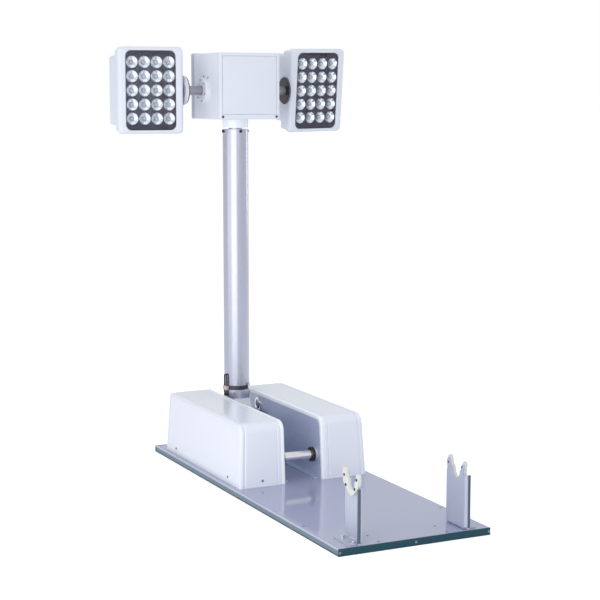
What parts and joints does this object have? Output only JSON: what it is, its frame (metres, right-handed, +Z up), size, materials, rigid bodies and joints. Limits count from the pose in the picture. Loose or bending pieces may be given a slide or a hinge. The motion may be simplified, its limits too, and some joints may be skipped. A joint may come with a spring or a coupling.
{
  "type": "folding telescopic light mast",
  "caption": "Compact folding telescopic light mast on a flat base panel, with floodlights on a pan and tilt head and cradles for the folded head.",
  "frame": {"origin": "middle of the base panel's underside, on the floor", "axes": "+Z up along the raised mast, +Y along the panel towards the mast end, +X to the right of someone facing the mast from the cradle end"},
  "size_m": [0.8496, 1.4459, 1.4385],
  "materials": {
    "panel": "glossy lacquered composite panel",
    "edging": "dark teal anodised edging",
    "rail": "blue-grey anodised edging",
    "cover": "white satin moulded shell",
    "frame": "satin anodised sheet",
    "bar": "polished stainless",
    "black_fitting": "black moulded",
    "bearing": "dark bearing plastic",
    "stud": "polished",
    "bracket": "satin anodised sheet",
    "fork": "cream moulded plastic",
    "casting": "satin cast",
    "shaft_steel": "ground",
    "mast": "satin anodised tube",
    "band": "dark steel band",
    "cable": "black rubber",
    "clip": "pale plastic",
    "white_paint": "white satin powder coat",
    "tilt_metal": "textured casting with a bright rim",
    "mask": "dark satin",
    "reflector": "metallised bright",
    "glass": "clear window"
  },
  "bodies": {
    "base": {"base_panel": "panel", "front_edge_strip": "edging", "rear_edge_strip": "edging", "left_edge_rail": "rail", "right_edge_rail": "rail", "left_cover": "cover", "right_cover": "cover", "left_side_frame": "frame", "right_side_frame": "frame", "cross_bar": "bar", "cross_bar_collars": "black_fitting", "pivot_bearings": "bearing", "guide_studs": "stud", "left_cradle_bracket": "bracket", "right_cradle_bracket": "bracket", "left_cradle_fork": "fork", "right_cradle_fork": "fork"},
    "mast": {"mast_foot": "casting", "pivot_shaft": "shaft_steel", "mast_tube": "mast", "foot_clamp_band": "band", "cable_link": "cable", "cable_clip": "clip"},
    "second_section": {"section_two": "mast"},
    "third_section": {"section_three": "mast"},
    "top_section": {"section_four": "mast", "mast_collar": "white_paint"},
    "head": {"head_box": "white_paint", "head_front_panel": "white_paint", "head_rear_cover": "white_paint", "pan_spindle": "shaft_steel", "tilt_flanges": "white_paint"},
    "left_lamp": {"left_tilt_shaft": "tilt_metal", "left_lamp_housing": "white_paint", "left_lamp_body": "white_paint", "left_lamp_bezel": "white_paint", "left_lamp_mask": "mask", "left_lamp_reflectors": "reflector", "left_lamp_glass": "glass"},
    "right_lamp": {"right_tilt_shaft": "tilt_metal", "right_lamp_housing": "white_paint", "right_lamp_body": "white_paint", "right_lamp_bezel": "white_paint", "right_lamp_mask": "mask", "right_lamp_reflectors": "reflector", "right_lamp_glass": "glass"}
  },
  "joints": [
    {"name": "mast_fold", "type": "hinge", "parent": "base", "child": "mast", "pos_m": [0, 0.499, 0.135], "axis": [-1, 0, 0], "range_deg": [-90, 0]},
    {"name": "telescope", "type": "slide", "parent": "mast", "child": "second_section", "axis": [0, 0, 1], "range_m": [0, 0.65]},
    {"name": "telescope_third", "type": "slide", "parent": "second_section", "child": "third_section", "axis": [0, 0, 1], "range_m": [0, 0.65]},
    {"name": "telescope_top", "type": "slide", "parent": "third_section", "child": "top_section", "axis": [0, 0, 1], "range_m": [0, 0.65]},
    {"name": "head_pan", "type": "hinge", "parent": "top_section", "child": "head", "pos_m": [0, 0.551, 1.29], "axis": [0, 0, 1], "range_deg": [-180, 180]},
    {"name": "left_lamp_tilt", "type": "hinge", "parent": "head", "child": "left_lamp", "pos_m": [-0.313, 0.551, 1.29], "axis": [1, 0, 0], "range_deg": [-90, 90]},
    {"name": "right_lamp_tilt", "type": "hinge", "parent": "head", "child": "right_lamp", "pos_m": [0.313, 0.551, 1.29], "axis": [1, 0, 0], "range_deg": [-96, 84]}
  ],
  "couplings": [
    {"joint": "telescope_third", "follows": "telescope", "ratio": 1},
    {"joint": "telescope_top", "follows": "telescope", "ratio": 1}
  ]
}
